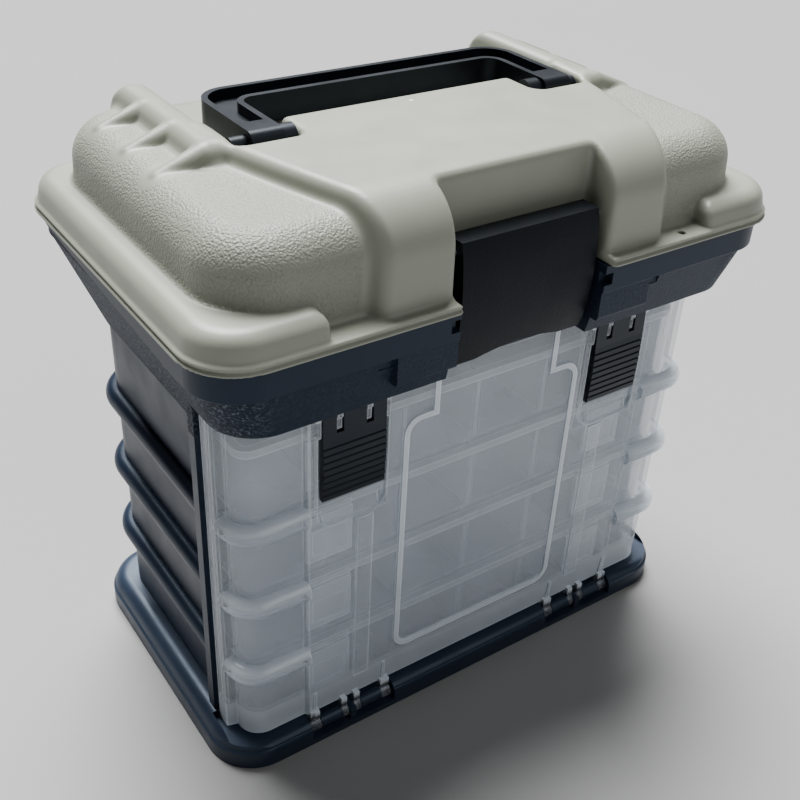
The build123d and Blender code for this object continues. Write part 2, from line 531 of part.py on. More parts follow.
# ---------------------------------------------------------------- write the nodes
save("base_foot", make_foot())
save("rack_shell", make_rack_shell())
save("upper_tub", make_tub())
save("lid", make_lid())
save("lid_latch", make_lid_latch())
save("carry_handle", make_handle())
save("front_door", make_door())
save("door_latch_left", make_door_latch(-1))
save("door_latch_right", make_door_latch(1))
save("door_hinge_pins", pin_pair(POCKET_IN + 0.4, POCKET_OUT - 0.4, DOOR_AXIS_Y, DOOR_AXIS_Z, DOOR_PIN_R))
save("lid_hinge_pins", pin_pair(LID_POCKET_IN + 0.6, LID_POCKET_OUT - 0.6, LID_AXIS_Y, LID_AXIS_Z, LID_PIN_R))
save("handle_pins", pin_pair(NOTCH_IN - 5, RIDGE_IN + 5, HANDLE_AXIS_Y, HANDLE_AXIS_Z, HANDLE_PIN_R))
save("lid_latch_pin", rod(-RECESS_HALF_X - 3.2, RECESS_HALF_X + 3.2, LID_LATCH_AXIS_Y,
                          LID_LATCH_AXIS_Z, LID_LATCH_PIN_R))
save("door_latch_pins", pin_pair(LATCH_X0 - 2.5, LATCH_X1 + 2.5, LATCH_AXIS_Y, LATCH_AXIS_Z, LATCH_PIN_R))
for number in range(1, TRAY_COUNT + 1):
    z_tray = TRAY_FIRST_Z + TRAY_PITCH * (number - 1)
    name = "tray_%d_" % number
    save(name + "box", make_tray_box(z_tray))
    save(name + "lid", make_tray_lid(z_tray))
    save(name + "dividers", make_dividers(z_tray))
    save(name + "catches", make_tray_catches(z_tray))
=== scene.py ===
"""Looks for the hard-sided tackle box: materials for the CAD pieces and a finely blended lid.

Lengths in the lid's shape code are millimetres in the row frame. Everything else is in metres: the written
meshes, the places and noise scales in the materials, the lights and the camera.
"""
import math

import bpy
import numpy as np
from mathutils import Matrix, Vector


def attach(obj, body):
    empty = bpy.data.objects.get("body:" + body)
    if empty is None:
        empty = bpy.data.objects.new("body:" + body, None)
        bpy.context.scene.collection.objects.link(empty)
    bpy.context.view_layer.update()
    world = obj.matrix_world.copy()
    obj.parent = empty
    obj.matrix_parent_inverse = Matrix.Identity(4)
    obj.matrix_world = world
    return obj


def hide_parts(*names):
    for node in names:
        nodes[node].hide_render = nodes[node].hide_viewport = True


MM = 0.001


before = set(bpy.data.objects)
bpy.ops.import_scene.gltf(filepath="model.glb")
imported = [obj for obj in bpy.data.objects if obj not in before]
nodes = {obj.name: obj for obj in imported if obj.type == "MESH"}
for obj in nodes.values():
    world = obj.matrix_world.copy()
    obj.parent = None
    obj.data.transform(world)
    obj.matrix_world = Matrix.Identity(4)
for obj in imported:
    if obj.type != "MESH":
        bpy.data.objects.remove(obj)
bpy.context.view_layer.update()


# ---------------------------------------------------------------- distance fields
def box_2d(a, b, half_a, half_b, r):
    """Distance to a rounded rectangle centred on the origin."""
    qa, qb = np.abs(a) - half_a + r, np.abs(b) - half_b + r
    return np.hypot(np.maximum(qa, 0), np.maximum(qb, 0)) + np.minimum(np.maximum(qa, qb), 0) - r


def union(a, b, r):
    """Union with a hollow fillet of radius r."""
    return np.maximum(r, np.minimum(a, b)) - np.hypot(np.maximum(r - a, 0), np.maximum(r - b, 0))


def cross(a, b, r):
    """Intersection with a rounded edge of radius r."""
    return np.minimum(-r, np.maximum(a, b)) + np.hypot(np.maximum(r + a, 0), np.maximum(r + b, 0))


def cut(a, b, r):
    """a without b, with a rounded edge of radius r."""
    return cross(a, -b, r)


def cone(x, y, z, start, end, r0, r1):
    """Rounded rod from start to end whose radius goes from r0 to r1."""
    s, d = np.array(start), np.array(end) - np.array(start)
    t = np.clip(((x - s[0]) * d[0] + (y - s[1]) * d[1] + (z - s[2]) * d[2]) / (d @ d), 0, 1)
    gap = np.sqrt((x - s[0] - t * d[0]) ** 2 + (y - s[1] - t * d[1]) ** 2 + (z - s[2] - t * d[2]) ** 2)
    return gap - (r0 + t * (r1 - r0))


def side_line(x, y, p, q):
    """Distance outside the line from p to q, taken on both sides of the middle plane."""
    px, py = p
    dx, dy = q[0] - px, q[1] - py
    length = math.hypot(dx, dy)
    return ((np.abs(x) - px) * dy - (y - py) * dx) / length


# ---------------------------------------------------------------- mesh from a distance field
def neighbours(axis):
    """Two indices: each grid point but the last along axis, and the next point along it."""
    here, there = [slice(None)] * 3, [slice(None)] * 3
    here[axis], there[axis] = slice(0, -1), slice(1, None)
    return tuple(here), tuple(there)


def surface(field, xs, ys, zs):
    """Smooth quad mesh of the zero surface of field, given at the grid points xs, ys, zs."""
    axes = (xs, ys, zs)
    inside = field < 0
    shape = tuple(n - 1 for n in field.shape)
    # one point for each grid cell the surface passes: the mean of its crossings on the cell's edges
    total = np.zeros(shape + (3,), np.float64)
    count = np.zeros(shape, np.int32)
    for axis in range(3):
        here, there = neighbours(axis)
        changed = inside[here] != inside[there]
        where = np.argwhere(changed)
        v0, v1 = field[here][changed], field[there][changed]
        t = v0 / (v0 - v1)
        points = np.empty((len(where), 3))
        for k in range(3):
            points[:, k] = axes[k][where[:, k]]
        start, end = axes[axis][where[:, axis]], axes[axis][where[:, axis] + 1]
        points[:, axis] = start + t * (end - start)
        a, b = [k for k in range(3) if k != axis]
        for da in (0, 1):
            for db in (0, 1):
                cell = where.copy()
                cell[:, a] -= da
                cell[:, b] -= db
                ok = np.all((cell >= 0) & (cell < np.array(shape)), axis=1)
                flat = np.ravel_multi_index(cell[ok].T, shape)
                np.add.at(count.reshape(-1), flat, 1)
                for k in range(3):
                    np.add.at(total.reshape(-1, 3)[:, k], flat, points[ok, k])
    used = count > 0
    index = np.full(shape, -1, np.int64)
    index[used] = np.arange(used.sum())
    verts = total[used] / count[used][:, None]
    # one quad for each grid edge the surface crosses, through the four cells round that edge
    quads = []
    for axis in range(3):
        a, b = [k for k in range(3) if k != axis]
        here, there = neighbours(axis)
        where = np.argwhere(inside[here] != inside[there])
        ok = (where[:, a] > 0) & (where[:, b] > 0)
        ok &= (where[:, a] < shape[a]) & (where[:, b] < shape[b])
        where = where[ok]
        ring = []
        for da, db in ((1, 1), (0, 1), (0, 0), (1, 0)):
            cell = where.copy()
            cell[:, a] -= da
            cell[:, b] -= db
            ring.append(index[cell[:, 0], cell[:, 1], cell[:, 2]])
        quad = np.stack(ring, axis=1)
        flip = ~inside[here][tuple(where.T)]
        if axis == 1:
            flip = ~flip
        quad[flip] = quad[flip][:, ::-1]
        quads.append(quad)
    return verts, np.concatenate(quads)


def mesh_object(name, verts, faces, material, smooth=True):
    """New mesh object from millimetre points."""
    mesh = bpy.data.meshes.new(name)
    mesh.from_pydata((np.asarray(verts) * MM).tolist(), [], [list(map(int, f)) for f in faces])
    mesh.update()
    if smooth:
        mesh.polygons.foreach_set("use_smooth", [True] * len(mesh.polygons))
    mesh.materials.append(material)
    obj = bpy.data.objects.new(name, mesh)
    bpy.context.scene.collection.objects.link(obj)
    return obj


# ---------------------------------------------------------------- lid
LID_WALL = 2.6
RIM_X, RIM_FRONT, RIM_BACK, RIM_R = 135.0, -88.4, 83.6, 22.0
RIM_LOW, RIM_HIGH = 209.2, 212.6
GROOVE_Z, GROOVE_WIDTH, GROOVE_DEPTH = 210.8, 0.45, 1.2     # the groove that splits the rim into two beads
BEAD_Z, BEAD_IN = 210.4, 0.35                               # the upper bead is set in above this height
DOME_X, DOME_FRONT, DOME_BACK, DOME_R = 122.5, -77.0, 75.0, 27.0
DOME_TOP, DOME_EDGE, DOME_DRAFT = 246.4, 14.0, 0.06
BUMPER_TOP, BUMPER_END, BUMPER_IN, BUMPER_DRAFT = 222.6, 88.0, 1.6, 0.20
PLATEAU_TOP, PLATEAU_BACK, PLATEAU_EDGE, PLATEAU_DRAFT = 254.0, 8.0, 5.0, 0.10
PLATEAU_LAP = 6.0                                           # it runs on this far, where the well cuts it
NOSE_Y, NOSE_Z, NOSE_HALF_Y, NOSE_HALF_Z = 40.0, 194.0, 122.8, 60.0     # its turned-down front, from the side
NOSE_R, NOSE_DRAFT = 22.5, 0.02
SIDE_POINTS = ((67.0, -92.0), (71.6, -72.0), (96.2, -17.0))     # its right-hand edge from above, front first
RIDGE_MID, RIDGE_HALF, RIDGE_Y, RIDGE_HALF_Y = 89.5, 7.0, 32.0, 42.0
TIP_Y, TIP_RUN, TIP_RISE = 66.5, 8.0, 10.0                  # where and how steeply a ridge's rear tip slopes
FIN_YS, FIN_X, FIN_Z, FIN_R = (-5.5, 20.5, 46.5), (93.0, 111.0), (248.6, 243.9), (5.0, 2.6)
WELL_FLOOR = 242.5
NOTCH_IN, NOTCH_OUT, NOTCH_FRONT, NOTCH_BACK, NOTCH_FLOOR = 55.0, 82.5, -12.0, 40.0, 240.3
RECESS_X, RECESS_WALL = 35.5, -67.6
HOLE_X, HOLE_Y, HOLE_R, HOLE_LOW = 77.0, -82.4, 1.7, 208.0
KNUCKLE_Y, KNUCKLE_Z, KNUCKLE_R, KNUCKLE_BORE = 80.5, 206.0, 3.0, 1.32
KNUCKLE_IN, KNUCKLE_OUT, KNUCKLE_SIDES = 52.4, 67.6, 48
TAB_FRONT, TAB_BACK, TAB_TOP = -1.0, 2.8, 3.7               # the knuckle's tab, measured from its axis
GATE_R = 1.1
# the grid the lid is meshed on, finer through the rim
GRID_STEP, GRID_RIM_STEP = 0.95, 0.42
GRID_X, GRID_Y = (-137.2, 137.3), (-90.2, 86.2)
GRID_RIM_Z, GRID_Z = (208.3, 214.0), (214.2, 256.5)
# where the grain fades in, and the ramp's length
GRAIN_RAISED, GRAIN_Z, GRAIN_INSIDE, GRAIN_WELL_X = (3.2, 1.6), (214.5, 2.0), (1.6, 1.2), 83.0


def lid_fields(x, y, z):
    """Distance fields of the lid's solid, of its smooth raised parts and of its dome."""
    rim_y, rim_half = (RIM_FRONT + RIM_BACK) / 2, (RIM_BACK - RIM_FRONT) / 2
    dome_y, dome_half = (DOME_FRONT + DOME_BACK) / 2, (DOME_BACK - DOME_FRONT) / 2
    rise = np.maximum(z - RIM_HIGH, 0)
    # flange with a groove that splits its edge into two beads
    flange = box_2d(x, y - rim_y, RIM_X, rim_half, RIM_R)
    flange = flange + GROOVE_DEPTH * np.exp(-((z - GROOVE_Z) / GROOVE_WIDTH) ** 2)
    flange = cross(flange + BEAD_IN * np.clip(z - BEAD_Z, 0, 1), z - RIM_HIGH, r=0.9)
    # dome with drafted walls
    dome = box_2d(x, y - dome_y, DOME_X, dome_half, DOME_R) + DOME_DRAFT * rise
    dome = cross(dome, z - DOME_TOP, DOME_EDGE)
    # bumper band round both ends
    bumper = box_2d(x, y - rim_y, RIM_X - BUMPER_IN, rim_half - BUMPER_IN, RIM_R - BUMPER_IN)
    bumper = cross(bumper + BUMPER_DRAFT * rise, BUMPER_END - np.abs(x), r=2.4)
    bumper = cross(bumper, z - BUMPER_TOP, r=5.2)
    # central plateau, turned down over the front edge
    nose = box_2d(y - NOSE_Y, z - NOSE_Z, NOSE_HALF_Y, NOSE_HALF_Z, NOSE_R) + NOSE_DRAFT * rise
    front, knee, back = SIDE_POINTS
    plan = cross(side_line(x, y, front, knee), side_line(x, y, knee, back), r=14.0)
    plan = cross(plan, np.abs(x) - RIDGE_MID - RIDGE_HALF, r=10.0)
    plateau = cross(plan + PLATEAU_DRAFT * (z - PLATEAU_TOP), nose, PLATEAU_EDGE)
    plateau = cross(plateau, y - PLATEAU_BACK - PLATEAU_LAP, r=2.0)
    # ridges beside the handle, sloped down at their rear tips
    ridge = box_2d(np.abs(x) - RIDGE_MID, y - RIDGE_Y, RIDGE_HALF, RIDGE_HALF_Y, 5.0)
    ridge = cross(ridge + PLATEAU_DRAFT * (z - PLATEAU_TOP), z - PLATEAU_TOP, r=6.0)
    slope = ((y - TIP_Y) * TIP_RISE + (z - PLATEAU_TOP) * TIP_RUN) / math.hypot(TIP_RISE, TIP_RUN)
    raised = union(plateau, cross(ridge, slope, r=3.0), r=3.0)
    shell = union(dome, raised, r=3.0)
    for fin_y in FIN_YS:
        top, foot = [(fin_x, fin_y, fin_z) for fin_x, fin_z in zip(FIN_X, FIN_Z)]
        fin = cone(np.abs(x), y, z, top, foot, *FIN_R)
        shell = union(shell, fin, r=0.9)
        raised = np.minimum(raised, fin)
    # handle well and the notches for its arms
    well = cross(np.abs(x) - (RIDGE_MID - RIDGE_HALF), PLATEAU_BACK - y, r=4.0)
    well = cross(well, WELL_FLOOR - z, r=3.0)
    shell = cut(shell, well, r=3.0)
    notch = box_2d(np.abs(x) - (NOTCH_IN + NOTCH_OUT) / 2, y - (NOTCH_FRONT + NOTCH_BACK) / 2,
                   (NOTCH_OUT - NOTCH_IN) / 2, (NOTCH_BACK - NOTCH_FRONT) / 2, 5.0)
    notch = cross(notch, y - PLATEAU_BACK - 2.0, r=2.0)
    notch = cross(notch, NOTCH_FLOOR - z, r=2.5)
    shell = cut(shell, notch, r=2.5)
    # recess for the latch
    recess = cross(np.abs(x) - RECESS_X, y - RECESS_WALL, r=2.0)
    shell = cut(shell, recess, r=3.2)
    outer = union(union(flange, bumper, r=0.9), shell, r=2.2)
    outer = cut(outer, recess, r=2.0)
    hole = np.hypot(x - HOLE_X, y - HOLE_Y) - HOLE_R
    outer = cut(outer, np.maximum(hole, HOLE_LOW - z), r=0.4)
    # hollow below, as thick as the wall
    hollow = box_2d(x, y - dome_y, DOME_X - LID_WALL, dome_half - LID_WALL, DOME_R - LID_WALL)
    solid = np.maximum(outer, -np.maximum(shell + LID_WALL, hollow))
    solid = np.maximum(solid, RIM_LOW - z)
    return solid, raised, dome


def knuckle(x0, x1):
    """Points and quads of a bored hinge knuckle with a tab that runs up into the rim."""
    tab_corners = [math.atan2(TAB_TOP, TAB_BACK), math.atan2(TAB_TOP, TAB_FRONT)]
    round_bore = [math.tau * k / KNUCKLE_SIDES for k in range(KNUCKLE_SIDES)]
    angles = np.array(sorted(round_bore + tab_corners))
    across, up = np.cos(angles), np.sin(angles)
    tiny = 1e-6
    to_side = np.where(across > 0, TAB_BACK, TAB_FRONT) / np.where(np.abs(across) < tiny, tiny, across)
    to_top = TAB_TOP / np.maximum(up, tiny)
    tab = np.where(up > tiny, np.minimum(np.abs(to_side), to_top), 0.0)
    n = len(angles)
    verts = []
    for x in (x0, x1):
        for r in (np.maximum(KNUCKLE_R, tab), np.full(n, KNUCKLE_BORE)):
            verts.append(np.stack([np.full(n, x), KNUCKLE_Y + r * across, KNUCKLE_Z + r * up], axis=1))
    a = np.arange(n)
    b = (a + 1) % n
    outer0, bore0, outer1, bore1 = 0, n, 2 * n, 3 * n
    sides = [(outer0 + a, outer0 + b, outer1 + b, outer1 + a), (outer1 + a, outer1 + b, bore1 + b, bore1 + a),
             (outer0 + a, bore0 + a, bore0 + b, outer0 + b), (bore0 + a, bore1 + a, bore1 + b, bore0 + b)]
    return np.concatenate(verts), np.concatenate([np.stack(side, axis=1) for side in sides])


def lid_mesh(material):
    """The lid as one object, with a point attribute that says where its grain is."""
    xs = np.arange(*GRID_X, GRID_STEP)
    xs = xs - (xs[0] + xs[-1]) / 2
    ys = np.arange(*GRID_Y, GRID_STEP)
    zs = np.concatenate([np.arange(*GRID_RIM_Z, GRID_RIM_STEP), np.arange(*GRID_Z, GRID_STEP)])
    x, y, z = np.meshgrid(xs, ys, zs, indexing="ij")
    solid, _, _ = lid_fields(x, y, z)
    verts, quads = surface(solid, xs, ys, zs)
    moulded = len(quads)
    for x0, x1 in ((KNUCKLE_IN, KNUCKLE_OUT), (-KNUCKLE_OUT, -KNUCKLE_IN)):
        more_verts, more_quads = knuckle(x0, x1)
        quads = np.concatenate([quads, more_quads + len(verts)])
        verts = np.concatenate([verts, more_verts])
    obj = mesh_object("lid_shell", verts, quads, material)
    for face in range(moulded, len(quads)):
        obj.data.polygons[face].use_smooth = False
    _, raised, dome = lid_fields(*verts.T)
    # grain covers the domed ends; the plateau, ridges, fins, bumpers and rim stay smooth
    away = np.clip((raised - GRAIN_RAISED[0]) / GRAIN_RAISED[1], 0, 1)
    above = np.clip((verts[:, 2] - GRAIN_Z[0]) / GRAIN_Z[1], 0, 1)
    on_dome = above * np.clip((GRAIN_INSIDE[0] - dome) / GRAIN_INSIDE[1], 0, 1)
    in_well = (np.abs(verts[:, 0]) < GRAIN_WELL_X) & (verts[:, 1] > PLATEAU_BACK - 1)
    grain = obj.data.attributes.new("grain", "FLOAT", "POINT")
    grain.data.foreach_set("value", (away * on_dome * np.where(in_well, 0.0, 1.0)).astype(np.float32))
    return obj


# ---------------------------------------------------------------- material helpers
COOL = (0.68, 0.82, 1.0, 1.0)   # tint of the sheen on the dark plastics


def new_material(name):
    """A material with its node tree, its shader and the object's own coordinates."""
    material = bpy.data.materials.new(name)
    material.use_nodes = True
    tree = material.node_tree
    shader = tree.nodes["Principled BSDF"]
    place = tree.nodes.new("ShaderNodeTexCoord").outputs["Object"]
    return material, tree, shader, place


def feed(tree, socket, value):
    """Link a node's output to the socket, or set a number or a colour on it."""
    if hasattr(value, "is_output"):
        tree.links.new(value, socket)
    elif isinstance(value, tuple):
        socket.default_value = (*value, 1.0)
    else:
        socket.default_value = value


def noise(tree, place, scale, detail=2.0, roughness=0.5):
    """Noise of about scale grains to the metre."""
    node = tree.nodes.new("ShaderNodeTexNoise")
    node.inputs["Scale"].default_value = scale
    node.inputs["Detail"].default_value = detail
    node.inputs["Roughness"].default_value = roughness
    tree.links.new(place, node.inputs["Vector"])
    return node.outputs["Fac"]


def remap(tree, value, low, high, to_low=0.0, to_high=1.0):
    """value's range from low to high, clamped and stretched to the range from to_low to to_high."""
    node = tree.nodes.new("ShaderNodeMapRange")
    for name, number in (("From Min", low), ("From Max", high), ("To Min", to_low), ("To Max", to_high)):
        node.inputs[name].default_value = number
    tree.links.new(value, node.inputs["Value"])
    return node.outputs["Result"]


def spread(tree, value, to_low=0.0, to_high=1.0):
    """The middle of a noise's range, where nearly all of it lies, stretched to the given range."""
    return remap(tree, value, 0.3, 0.7, to_low, to_high)


def math_node(tree, kind, a, b):
    """One sum of two numbers or outputs."""
    node = tree.nodes.new("ShaderNodeMath")
    node.operation = kind
    for socket, value in zip(node.inputs, (a, b)):
        feed(tree, socket, value)
    return node.outputs["Value"]


def plus(tree, a, b):
    return math_node(tree, "ADD", a, b)


def times(tree, a, b):
    return math_node(tree, "MULTIPLY", a, b)


def mix_colour(tree, fac, dark, light):
    """Colour that goes from dark to light with fac."""
    node = tree.nodes.new("ShaderNodeMix")
    node.data_type = "RGBA"
    for socket, value in ((node.inputs["Factor"], fac), (node.inputs[6], dark), (node.inputs[7], light)):
        feed(tree, socket, value)
    return node.outputs[2]


def coordinates(tree, place):
    """The x, y and z of a vector."""
    split = tree.nodes.new("ShaderNodeSeparateXYZ")
    tree.links.new(place, split.inputs["Vector"])
    return split.outputs["X"], split.outputs["Y"], split.outputs["Z"]


def bump(tree, shader, height, strength, distance, after=None):
    """Bump the shader's normal by height, on top of an earlier bump if there is one."""
    node = tree.nodes.new("ShaderNodeBump")
    node.inputs["Distance"].default_value = distance
    feed(tree, node.inputs["Strength"], strength)
    tree.links.new(height, node.inputs["Height"])
    if after is not None:
        tree.links.new(after, node.inputs["Normal"])
    tree.links.new(node.outputs["Normal"], shader.inputs["Normal"])
    return node.outputs["Normal"]


# ---------------------------------------------------------------- materials
CLOUDS = dict(scale=22.0, detail=4.0)    # large faint patches of colour
PATCHES = dict(scale=60.0, detail=3.0)   # patches of gloss

LID_DARK, LID_LIGHT, LID_PITS = (0.222, 0.233, 0.190), (0.242, 0.254, 0.208), (0.145, 0.152, 0.125)
GATE_PALE, GATE_FADE = (0.72, 0.72, 0.66), 0.15     # its colour, and its soft edge as a share of its radius

TUB_CLIMB_Y, TUB_CLIMB = -0.060, 0.05625            # behind this y the band's lower edge climbs at this slope
TUB_SKIRT_Z = (0.1972, 0.1966)                      # the skirt starts below this
TUB_SIDE_X = (0.104, 0.117, 0.30, 1.0)              # the grain and its painted glints are full on the ends, faint on the front
TUB_GRAIN_DARK, TUB_GRAIN_LIGHT = (0.0045, 0.0080, 0.0165), (0.0110, 0.0175, 0.0320)
TUB_BAND_DARK, TUB_BAND_LIGHT = (0.0070, 0.0120, 0.0235), (0.0092, 0.0150, 0.0285)
# pale colour of the painted glints that stand in for light caught by the skirt's grain
TUB_GLINT = (0.14, 0.165, 0.20)

# ramps over the closed door: where they start and end, and what they give there
DOOR_MIDDLE_X = (0.0850, 0.0845)                    # inside the side columns
DOOR_RIB_Y = (-0.06835, -0.06845, 0.0, 0.062)       # haze added by the ribs' fronts
DOOR_OUTLINE_Y = (-0.06900, -0.06910, 0.0, 0.372)   # haze added by the embossed outline
DOOR_BAR_Z = (0.0275, 0.0265, 0.0, 0.16)            # haze added by the solid bar at the door's foot
DOOR_BAR_LOW_Z = (0.0132, 0.0137)                   # that bar's lower edge
DOOR_ARM_Z = (0.0115, 0.0135, 0.16, 1.0)            # share of the haze left on the hinge arms below it


def plastic(name, dark, light, rough, speck, depth, shine):
    """Moulded plastic: faint large clouds in colour and gloss, with a very fine skin."""
    material, tree, shader, place = new_material(name)
    colour = mix_colour(tree, spread(tree, noise(tree, place, **CLOUDS)), dark, light)
    tree.links.new(colour, shader.inputs["Base Color"])
    gloss = spread(tree, noise(tree, place, **PATCHES), rough - 0.05, rough + 0.05)
    tree.links.new(gloss, shader.inputs["Roughness"])
    shader.inputs["Specular IOR Level"].default_value = shine
    shader.inputs["Specular Tint"].default_value = COOL
    bump(tree, shader, noise(tree, place, speck), strength=0.35, distance=depth)
    return material


def grey_plastic():
    """The lid's grey: smooth, with an orange-peel grain where the mesh says so."""
    material, tree, shader, place = new_material("lid_grey")
    colour = mix_colour(tree, spread(tree, noise(tree, place, scale=18.0, detail=4.0)), LID_DARK, LID_LIGHT)
    attribute = tree.nodes.new("ShaderNodeAttribute")
    attribute.attribute_name = "grain"
    mask = attribute.outputs["Fac"]
    cells = tree.nodes.new("ShaderNodeTexVoronoi")
    cells.feature = "SMOOTH_F1"
    cells.inputs["Scale"].default_value = 1150.0
    cells.inputs["Smoothness"].default_value = 0.6
    tree.links.new(place, cells.inputs["Vector"])
    peel = plus(tree, cells.outputs["Distance"], times(tree, noise(tree, place, scale=950.0), 0.9))
    pits = times(tree, times(tree, mask, remap(tree, peel, 0.5, 1.1)), 0.30)
    colour = mix_colour(tree, pits, colour, LID_PITS)
    # small pale gate mark in the middle of the plateau
    from_gate = tree.nodes.new("ShaderNodeVectorMath")
    from_gate.operation = "DISTANCE"
    from_gate.inputs[1].default_value = (0.0, 0.0, PLATEAU_TOP * MM)
    tree.links.new(place, from_gate.inputs[0])
    outside, inside = GATE_R * (1 + GATE_FADE) * MM, GATE_R * (1 - GATE_FADE) * MM
    gate = remap(tree, from_gate.outputs["Value"], outside, inside)
    tree.links.new(mix_colour(tree, gate, colour, GATE_PALE), shader.inputs["Base Color"])
    gloss = spread(tree, noise(tree, place, **PATCHES), 0.40, 0.50)
    tree.links.new(plus(tree, gloss, times(tree, mask, 0.04)), shader.inputs["Roughness"])
    shader.inputs["Specular IOR Level"].default_value = 0.5
    fine = bump(tree, shader, noise(tree, place, scale=2400.0), strength=0.25, distance=0.00002)
    bump(tree, shader, peel, mask, distance=0.00034, after=fine)
    return material


def tub_plastic():
    """The tub's navy: coarse grain with painted glints on the sloped skirt, smooth on the band above it."""
    material, tree, shader, place = new_material("tub_navy")
    x, y, z = coordinates(tree, place)
    behind = math_node(tree, "SUBTRACT", y, TUB_CLIMB_Y)
    climb = math_node(tree, "MAXIMUM", times(tree, behind, TUB_CLIMB), 0.0)
    skirt = remap(tree, math_node(tree, "SUBTRACT", z, climb), *TUB_SKIRT_Z)
    skirt = times(tree, skirt, remap(tree, math_node(tree, "ABSOLUTE", x, 0.0), *TUB_SIDE_X))
    grains = noise(tree, place, scale=800.0, detail=3.0, roughness=0.7)
    # painted glints: pale specks at the grain's peaks stand in for light the grain catches
    painted_glints = times(tree, times(tree, remap(tree, grains, 0.54, 0.64), skirt), 0.70)
    grainy = mix_colour(tree, remap(tree, grains, 0.42, 0.60), TUB_GRAIN_DARK, TUB_GRAIN_LIGHT)
    grainy = mix_colour(tree, painted_glints, grainy, TUB_GLINT)
    smooth = mix_colour(tree, spread(tree, noise(tree, place, **CLOUDS)), TUB_BAND_DARK, TUB_BAND_LIGHT)
    tree.links.new(mix_colour(tree, skirt, smooth, grainy), shader.inputs["Base Color"])
    tree.links.new(remap(tree, skirt, 0.0, 1.0, 0.42, 0.62), shader.inputs["Roughness"])
    shader.inputs["Specular IOR Level"].default_value = 0.22
    shader.inputs["Specular Tint"].default_value = COOL
    fine = bump(tree, shader, noise(tree, place, scale=2600.0), strength=0.3, distance=0.00002)
    bump(tree, shader, grains, skirt, distance=0.0012, after=fine)
    return material


def on_door(tree, place, haze):
    """The haze with the door's own marks: whiter ribs, outline and foot bar, clearer hinge arms."""
    x, y, z = coordinates(tree, place)
    middle = remap(tree, math_node(tree, "ABSOLUTE", x, 0.0), *DOOR_MIDDLE_X)
    proud = plus(tree, remap(tree, y, *DOOR_RIB_Y), remap(tree, y, *DOOR_OUTLINE_Y))
    bar = times(tree, remap(tree, z, *DOOR_BAR_Z), remap(tree, z, *DOOR_BAR_LOW_Z))
    haze = plus(tree, plus(tree, haze, times(tree, proud, middle)), bar)
    return times(tree, haze, remap(tree, z, *DOOR_ARM_Z))


def clear_plastic(name, tint, haze, rough, edge_width, painted_edge_light, painted_top_light, marks=None):
    """Thin milky polypropylene: see-through face on, whiter at a slant and where thick, with painted light
    along edges and on faces that look up.
    """
    material, tree, shader, place = new_material(name)
    clouds = noise(tree, place, scale=35.0, detail=4.0)
    colour = mix_colour(tree, spread(tree, clouds), tuple(c * 0.94 for c in tint), tint)
    tree.links.new(colour, shader.inputs["Base Color"])
    gloss = spread(tree, noise(tree, place, scale=80.0, detail=3.0), rough - 0.04, rough + 0.04)
    tree.links.new(gloss, shader.inputs["Roughness"])
    facing = tree.nodes.new("ShaderNodeLayerWeight")
    facing.inputs["Blend"].default_value = 0.35
    slant = remap(tree, facing.outputs["Facing"], 0.30, 1.0, haze, haze + 0.28)
    # painted light along edges, where light gathers in the real plastic: the rounded normal leaves the flat
    # one near them
    rounded = tree.nodes.new("ShaderNodeBevel")
    rounded.samples = 4
    rounded.inputs["Radius"].default_value = edge_width
    flat = tree.nodes.new("ShaderNodeNewGeometry")
    agree = tree.nodes.new("ShaderNodeVectorMath")
    agree.operation = "DOT_PRODUCT"
    tree.links.new(rounded.outputs["Normal"], agree.inputs[0])
    tree.links.new(flat.outputs["Normal"], agree.inputs[1])
    edge = remap(tree, agree.outputs["Value"], 0.998, 0.72, 0.0, painted_edge_light)
    total = plus(tree, plus(tree, slant, spread(tree, clouds, -0.02, 0.02)), edge)
    # painted top light: faces that look up are drawn whiter, as if lit from above
    _, _, up = coordinates(tree, tree.nodes["Texture Coordinate"].outputs["Normal"])
    total = plus(tree, total, remap(tree, up, 0.25, 0.85, 0.0, painted_top_light))
    if marks is not None:
        total = marks(tree, place, total)
    tree.links.new(math_node(tree, "MINIMUM", total, 1.0), shader.inputs["Alpha"])
    shader.inputs["Specular IOR Level"].default_value = 0.7
    return material


def steel():
    """Drawn steel, streaked along x."""
    material, tree, shader, place = new_material("pin_steel")
    stretched = tree.nodes.new("ShaderNodeMapping")
    stretched.inputs["Scale"].default_value = (20.0, 900.0, 900.0)
    tree.links.new(place, stretched.inputs["Vector"])
    streaks = noise(tree, stretched.outputs["Vector"], scale=1.0, detail=3.0)
    colour = mix_colour(tree, streaks, (0.42, 0.43, 0.45), (0.58, 0.59, 0.61))
    tree.links.new(colour, shader.inputs["Base Color"])
    shader.inputs["Metallic"].default_value = 1.0
    tree.links.new(spread(tree, streaks, 0.28, 0.4), shader.inputs["Roughness"])
    return material


